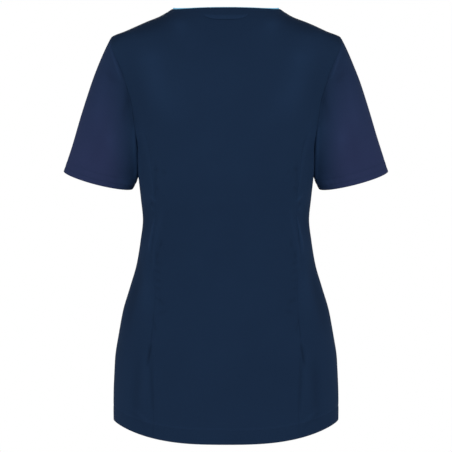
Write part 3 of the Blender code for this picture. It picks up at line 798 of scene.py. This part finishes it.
def new_piece(name, points, faces, material, uv=None, painted_shading=None):
    mesh = bpy.data.meshes.new(name)
    mesh.from_pydata(points.reshape(-1, 3).tolist(), [], faces.tolist())
    if painted_shading is not None:
        layer = mesh.attributes.new("PaintedShading", "FLOAT", "POINT")
        layer.data.foreach_set("value", painted_shading.astype(np.float32))
    if uv is not None:
        corners = np.empty(len(mesh.loops), dtype=np.int32)
        mesh.loops.foreach_get("vertex_index", corners)
        layer = mesh.uv_layers.new(name="Cloth")
        layer.data.foreach_set("uv", uv[corners].astype(np.float32).ravel())
    mesh.shade_smooth()
    mesh.set_sharp_from_angle(angle=math.radians(SHARP_ANGLE))
    mesh.materials.append(material)
    piece = new_object(name, mesh)
    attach(piece, "root")
    return piece


def grid_faces(rows, columns):
    """Four-sided faces of a grid of points that are numbered row by row."""
    corner = (np.arange(rows - 1)[:, None] * columns + np.arange(columns - 1)).ravel()
    return np.stack([corner, corner + 1, corner + columns + 1, corner + columns], axis=-1)


def rim_faces(rows, columns):
    """Faces that join the borders of an outer and an inner grid."""
    grid = np.arange(rows * columns).reshape(rows, columns)
    border = np.concatenate([grid[0], grid[1:, -1], grid[-1, -2::-1], grid[-2:0:-1, 0]])
    after = np.roll(border, -1)
    return np.stack([after, border, border + grid.size, after + grid.size], axis=-1)


def add_shell(name, outer, inner, material, measures=None, painted_shading=0.0):
    """A closed thin piece between two grids of points.

    Its measures are how far across and up the cloth each point is, and its painted
    shading is how much lighter painted light and shade make the outer face there.
    """
    rows, columns = outer.shape[:2]
    face = grid_faces(rows, columns)
    faces = np.concatenate([face, face[:, ::-1] + rows * columns, rim_faces(rows, columns)])
    points = np.concatenate([outer.reshape(-1, 3), inner.reshape(-1, 3)])
    start, across, _, down = points[faces[0]]
    if np.dot(np.cross(across - start, down - start), outer[0, 0] - inner[0, 0]) < 0:
        faces = faces[:, ::-1]
    uv = np.stack(measures or (row_lengths(outer), column_lengths(outer)), -1).reshape(-1, 2)
    # painted light and shade on the outer face
    light = np.ones((2, rows, columns))
    light[0] += painted_shading
    return new_piece(name, points, faces, material, np.concatenate([uv, uv]), light.ravel())


def values_at(measure, values, distance):
    """Places or directions where a measure along them has a value, or several."""
    order = np.argsort(measure)
    return np.stack([np.interp(distance, measure[order], axis) for axis in values[order].T], -1)


def line_at(cloth, measure, distance, face="outer"):
    """The line across a piece where a measure that grows up its columns has a value."""
    return [np.array([values_at(measure[:, i], cloth[key][:, i], distance)
                      for i in range(measure.shape[1])]) for key in (face, "normals")]


def from_edge(cloth, at_end, rows):
    """A panel's inner face beside one of its edges: places, directions, seam edge last."""
    away = cloth["along"][rows]
    if at_end:
        away = away[:, -1:] - away
    return [np.array([values_at(*row, ALLOWANCE_STEPS) for row in zip(away, cloth[key][rows])])
            for key in ("inner", "normals")]


def add_allowance(name, places, normals, material):
    outer = places - normals * ALLOWANCE_GAP
    return add_shell(name, outer, outer - normals * ALLOWANCE_CLOTH, material)


def seam_allowance(name, first, second, rows, material, mirror):
    """The sewn edges of two panels, pressed flat inside along their seam."""
    places, normals = [np.concatenate([one, other[:, ::-1]], axis=1)
                       for one, other in zip(from_edge(*first, rows), from_edge(*second, rows))]
    if mirror:
        places, normals = mirrored(places), mirrored(normals)
    return add_allowance(name, places, normals, material)


def armhole_allowance(side, sleeve, material):
    """The sewn edges of the body and a sleeve, turned into the sleeve."""
    down = sleeve["up"][0] - sleeve["up"]
    lines = [line_at(sleeve, down, step, "inner") for step in ALLOWANCE_STEPS[::-1]]
    places, normals = [np.concatenate([sleeve[name], rows])
                       for name, rows in zip(("body_edge", "body_normals"), zip(*lines))]
    return add_allowance(f"armhole_allowance_{side}", places, normals, material)


def cut_of(cloth, hem, rows, column):
    """Width and length of the flat piece with what is turned in, and its area.

    The width is the widest of the rows, and the length is taken straight up the column.
    """
    form = cloth["form"]
    width = row_lengths(form)[rows, -1].max() + 2 * SEAM_ALLOWANCE
    ends = form[0, column, 2], form[-1, column, 2]
    above = form[..., 2].max() - max(ends)
    length = column_lengths(form)[-1, column] + above + hem + SEAM_ALLOWANCE
    up, across = np.diff(form, axis=0)[:, :-1], np.diff(form, axis=1)[:-1]
    area = np.linalg.norm(np.cross(up, across), axis=-1).sum()
    return width, length, min(area + hem * width * HEM_AREA_SHARE, width * length)


def add_cloth(node, cloth, material, rows, column,
              hem=HEM_HEIGHT):
    """A piece of cloth in place of its node, with the size that it is cut to."""
    piece = add_shell(node + "_cloth", cloth["outer"], cloth["inner"], material,
                      (cloth["along"], cloth["up"]), cloth["painted_shading"])
    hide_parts(node)
    width, length, area = cut_of(cloth, hem, rows, column)
    print(f"cut of {node}: {width:.3f} x {length:.3f} m, {area:.4f} m2")


def add_stitches(name, line, normals, material, slot="body_cloth"):
    """A row of short thread stitches along a line on the cloth."""
    lengths = row_lengths(line[None])[0]
    count = int(lengths[-1] / STITCH_PITCH)
    middles = (np.arange(count) + 0.5) * lengths[-1] / count
    # grids of every stitch, its rings and the points round each ring
    start, end = [values_at(lengths, line, middles + half * STITCH_LENGTH)[:, None, None]
                  for half in (-0.5, 0.5)]
    up = unit(values_at(lengths, normals, middles))[:, None, None]
    side = unit(np.cross(end - start, up))
    share, swell = np.array(STITCH_PROFILE).T[..., None, None]
    angle = np.linspace(0, 2 * math.pi, STITCH_SIDES, endpoint=False)[:, None]
    centre = mix(start, end, share) + up * THREAD * (swell - STITCH_SINK)
    points = centre + (side * np.cos(angle) + up * np.sin(angle)) * THREAD * swell
    grid = np.arange(points.size // 3).reshape(points.shape[:3])
    low, high = grid[:, :-1], grid[:, 1:]
    faces = np.stack([low, np.roll(low, -1, 2), np.roll(high, -1, 2), high], axis=-1)
    return new_piece(name, points, faces.reshape(-1, 4), material)


def stitch_row(name, cloth, measure, distance, thread, slot="body_cloth"):
    """Stitches where one of a piece's measures has a value."""
    return add_stitches(name, *line_at(cloth, cloth[measure], distance), thread, slot)


# ---------------- neck pieces

def neck_line(cloth, below):
    """Points and directions of a panel's form, at a distance below its neck edge."""
    line, normals = line_at(cloth, cloth["from_top"], below, "form")
    return line[1:-1], unit(normals[1:-1])


def tape_rows(cloth, is_back):
    """The tape's outer face inside one panel's neck edge, lowest row first.

    Its places come first, and then its directions.
    """
    rows = []
    for share in TAPE_ROWS:
        line, normals = neck_line(cloth, TAPE_WIDTH * share)
        rows.append((line - normals * TAPE_DEPTH, normals))
    edge, normals = neck_line(cloth, 0.0)
    corner = smooth((np.abs(edge[:, 0]) - TAPE_CORNER_FROM) / (NECK_HALF_WIDTH - TAPE_CORNER_FROM))
    corner = corner[:, None]
    peek = mix(TAPE_PEEK, TAPE_CORNER_PEEK, corner)
    upright = np.ones_like(corner) if is_back else corner
    level = unit(mix(normals, unit(normals * (1, 1, 0)), upright))
    slope = unit(edge - neck_line(cloth, TAPE_SLOPE_STEP)[0])
    up = unit(mix(slope, np.array((0, 0, 1)), upright))
    inside = edge - level * mix(TAPE_DEPTH, TAPE_INSET, upright)
    rows.append((inside, level))
    rows.append((inside + up * peek, level))
    return np.array(rows).swapaxes(0, 1)


def add_neck_tape(back, front, material):
    """Light-blue tape inside the neck edge, all round."""
    behind, before = tape_rows(back, True), tape_rows(front, False)
    outer, normals = np.concatenate([behind, before[:, :, ::-1], behind[:, :, :1]], axis=2)
    inner = outer - normals * TAPE_CLOTH
    piece = add_shell("neck_tape_cloth", outer, inner, material)
    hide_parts("neck_tape")
    length = row_lengths(outer)[-1, -1]
    print(f"cut of neck_tape: {TAPE_WIDTH:.3f} x {length:.3f} m")


def add_hanger_loop(material, thread):
    """A short strip across the centre back, sewn down at its ends and a little slack."""
    offset, along = np.meshgrid(np.linspace(-0.5, 0.5, LOOP_ROWS + 1),
                                np.linspace(-1, 1, LOOP_COLUMNS + 1), indexing="ij")
    towards_end = along ** LOOP_POWER
    width = LOOP_WIDTH * (1 - LOOP_TAPER * towards_end)
    z = LOOP_Z + LOOP_END_RISE * towards_end + offset * width
    points = torso_points("back", along * LOOP_HALF_LENGTH, z)
    normals = torso_normals("back", points)
    under = LIFT + LOOP_GAP + LOOP_SLACK * (1 - along ** 2) ** 2
    crown = LOOP_CROWN * (1 - (2 * offset) ** 2)
    outer = points + normals * (under + LOOP_CLOTH + crown)[..., None]
    inner = points + normals * under[..., None]
    # painted light: the loop is lighter than the back
    piece = add_shell("hanger_loop_cloth", outer, inner, material, painted_shading=LOOP_PAINTED_LIGHT)
    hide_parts("hanger_loop")
    return [piece] + [
        add_stitches(f"loop_tack_{side}", outer[:, i], torso_normals("back", outer[:, i]), thread)
        for side, i in (("right", TACK_COLUMN), ("left", LOOP_COLUMNS - TACK_COLUMN))]


# ---------------- materials

def new_material(name, colour, roughness):
    material = bpy.data.materials.new(name)
    material.use_nodes = True
    shader = material.node_tree.nodes["Principled BSDF"]
    shader.inputs["Base Color"].default_value = (*colour, 1)
    shader.inputs["Roughness"].default_value = roughness
    return material, shader


def cloth_material(name, colour, roughness):
    material, shader = new_material(name, colour, roughness)
    shader.inputs["Specular IOR Level"].default_value = CLOTH_SPECULAR
    return material, shader


def node_maker(tree):
    """A function that adds a node, links the sockets that it is given and sets the rest."""

    def add(kind, inputs, output=0, **settings):
        node = tree.nodes.new("ShaderNode" + kind)
        for name, value in settings.items():
            setattr(node, name, value)
        for name, value in inputs.items():
            if isinstance(value, bpy.types.NodeSocket):
                tree.links.new(value, node.inputs[name])
            else:
                node.inputs[name].default_value = value
        return node.outputs[output]

    return add


def ramp(add, value, start, end, low, high, way="LINEAR"):
    """A value that goes from low to high while another goes from start to end."""
    return add("MapRange", {"Value": value, "From Min": start, "From Max": end,
                            "To Min": low, "To Max": high}, interpolation_type=way)


def sleeve_painted_light_share(add, place):
    """Share of painted light on the sleeves: 0 near the body, growing to 1 out and down them."""
    x, z = [add("SeparateXYZ", {"Vector": place}, axis) for axis in "XZ"]
    across = add("Math", {0: x}, operation="ABSOLUTE")
    out = ramp(add, across, PAINTED_LIGHT_FROM_X, PAINTED_LIGHT_TO_X, 0, 1, "SMOOTHSTEP")
    down = ramp(add, z, PAINTED_LIGHT_FROM_Z, PAINTED_LIGHT_TO_Z, 0, 1)
    return add("Math", {0: out, 1: down}, operation="MULTIPLY")


def woven_material(name, colour, pitch, twill=True, outer=None):
    """Cloth with a fine weave, flecks of lighter yarn and slow changes of lightness.

    Its colour drifts towards the outer one out and down the sleeves, as painted light on
    them, and it is lighter or darker by the painted light and shade each mesh carries.
    """
    material, shader = cloth_material(name, colour, CLOTH_ROUGHNESS)
    add = node_maker(material.node_tree)
    flat = add("UVMap", {}, uv_map="Cloth")
    place = add("TexCoord", {}, "Object")
    weave = add("TexWave", {"Vector": flat, "Scale": WAVE_UNIT / pitch,
                            "Distortion": WEAVE_DISTORTION}, "Fac",
                wave_type="BANDS", bands_direction="DIAGONAL" if twill else "X")
    yarn = add("TexNoise", {"Vector": flat, "Scale": 1 / (pitch * YARN_PITCHES),
                            "Detail": YARN_DETAIL}, "Fac")
    patches = add("TexNoise", {"Vector": place, "Scale": TONE_SCALE, "Detail": TONE_DETAIL}, "Fac")

    # painted light: the sleeves' navy grows lighter and more violet out and down them
    base = add("Mix", {"Factor": sleeve_painted_light_share(add, place) if outer else 0,
                       COLOUR_A: (*colour, 1), COLOUR_B: (*(outer or colour), 1)},
               COLOUR_RESULT, data_type="RGBA")
    flecks = ramp(add, yarn, 0, 1, 1 - FLECK, 1 + FLECK)
    tones = ramp(add, patches, *TONE_NOISE, 1 - TONE, 1 + TONE)
    # painted light and shade that each mesh carries, from its creases, shades, dart, hem and loop
    folds = add("Attribute", {}, "Fac", attribute_name="PaintedShading")
    both = add("Math", {0: flecks, 1: tones}, operation="MULTIPLY")
    light = add("Math", {0: both, 1: folds}, operation="MULTIPLY")
    shaded = add("VectorMath", {0: base, "Scale": light}, operation="SCALE")

    height = add("Math", {0: yarn, 1: YARN_SHARE, 2: weave}, operation="MULTIPLY_ADD")
    bump = add("Bump", {"Height": height, "Strength": WEAVE_STRENGTH, "Distance": WEAVE_HEIGHT})
    for socket, value in (("Base Color", shaded), ("Normal", bump)):
        material.node_tree.links.new(value, shader.inputs[socket])
    return material


# ---------------- stage

def add_floor():
    mesh = bpy.data.meshes.new("floor")
    angles = np.linspace(0, 2 * math.pi, FLOOR_SIDES, endpoint=False)
    rim = [(math.cos(a) * FLOOR_RADIUS, math.sin(a) * FLOOR_RADIUS, FLOOR_Z) for a in angles]
    mesh.from_pydata(rim, [], [tuple(range(FLOOR_SIDES))])
    mesh.materials.append(new_material("floor", (FLOOR_GREY,) * 3, FLOOR_ROUGHNESS)[0])
    new_object("floor", mesh)


def add_world():
    """A white band round the horizon, as a lit studio wall, and dimmer light above and below."""
    world = bpy.data.worlds.new("studio")
    bpy.context.scene.world = world
    world.use_nodes = True
    add = node_maker(world.node_tree)
    height = add("SeparateXYZ", {"Vector": add("TexCoord", {}, "Generated")}, "Z")
    level = add("Math", {0: height}, operation="ABSOLUTE")
    light = ramp(add, level, math.sin(math.radians(WALL_TO)),
                 math.sin(math.radians(WALL_FADES_TO)), WALL_LIGHT, DIM_LIGHT, "SMOOTHSTEP")
    background = world.node_tree.nodes["Background"]
    world.node_tree.links.new(light, background.inputs["Color"])


def add_light(name, place, watts):
    data = bpy.data.lights.new(name, "AREA")
    data.shape = "SQUARE"
    data.size = SOFTBOX_SIZE
    data.energy = watts
    light = new_object(name, data)
    light.location = place
    towards = np.array(LIGHT_TARGET) - np.array(place)
    light.rotation_euler = Vector(towards).to_track_quat("-Z", "Y").to_euler()


def add_camera():
    data = bpy.data.cameras.new("camera")
    data.sensor_width = SENSOR
    data.lens = SENSOR * CAMERA_DISTANCE / (IMAGE_SIDE * METRES_PER_PIXEL)
    camera = new_object("camera", data)
    camera.location = (0, CAMERA_DISTANCE, CAMERA_Z)
    camera.rotation_euler = (math.pi / 2, 0, math.pi)
    bpy.context.scene.camera = camera


# ---------------- the scene

def hem_and_neck_stitches(side, cloth, thread):
    return [stitch_row(f"hem_stitches_{side}", cloth, "up", HEM_HEIGHT, thread),
            stitch_row(f"neck_stitches_{side}", cloth, "from_top", NECK_STITCH, thread)]


def build():
    navy = woven_material("navy_twill", NAVY, TWILL_PITCH)
    # the sleeves' twill, with painted light out and down them
    sleeve_navy_painted_light = woven_material("sleeve_twill_painted_light", NAVY, TWILL_PITCH, outer=SLEEVE_PAINTED_LIGHT_NAVY)
    tape_blue = woven_material("tape_cotton", TAPE_BLUE, TAPE_PITCH, twill=False)
    thread = cloth_material("thread", THREAD_NAVY, THREAD_ROUGHNESS)[0]

    back = torso_cloth("back", *centred_grid("back", BACK_COLUMNS))
    front = torso_cloth("front", *centred_grid("front", FRONT_COLUMNS))
    left_side = torso_cloth("back", *side_back_grid(), sewn_top=True)

    on_back = hem_and_neck_stitches("back", back, thread) + add_hanger_loop(navy, thread)
    on_front = []
    seams = (
        ("princess", on_back, (back, True), (left_side, False), BELOW_ARMHOLE),
        ("side", on_front, (left_side, True), (front, True), BELOW_ARMHOLE),
        ("shoulder", on_front, (back, True), (front, True), SHOULDER_SEAM),
    )
    for side in ("left", "right"):
        for seam, carrier, first, second, rows in seams:
            name = f"{seam}_allowance_{side}"
            carrier.append(seam_allowance(name, first, second, rows, navy, side == "right"))
    add_cloth("back_centre", back, navy, slice(None), BACK_COLUMNS)
    on_front = hem_and_neck_stitches("front", front, thread) + on_front
    add_cloth("front", front, navy, BELOW_ARMHOLE, FRONT_COLUMNS)
    for side, cloth, column in (("left", left_side, 0), ("right", mirrored_cloth(left_side), -1)):
        hem = stitch_row(f"hem_stitches_{side}", cloth, "up", HEM_HEIGHT, thread)
        add_cloth(f"back_side_{side}", cloth, navy, BELOW_ARMHOLE, column)
        sleeve = sleeve_cloth(side == "right")
        inside = [stitch_row(f"sleeve_stitches_{side}_{row}", sleeve, "up", height, thread,
                             "sleeve_cloth")
                  for row, height in (("upper", SLEEVE_HEM_HEIGHT), ("lower", SLEEVE_EDGE_STITCH))]
        inside.append(armhole_allowance(side, sleeve, sleeve_navy_painted_light))
        add_cloth(f"sleeve_{side}", sleeve, sleeve_navy_painted_light, BELOW_BICEPS, SLEEVE_COLUMNS // 2,
                  SLEEVE_HEM_HEIGHT)
    add_neck_tape(back, front, tape_blue)
    add_floor()
    add_world()
    for softbox in SOFTBOXES:
        add_light(*softbox)
    bpy.context.scene.view_settings.view_transform = "Standard"
    add_camera()


build()
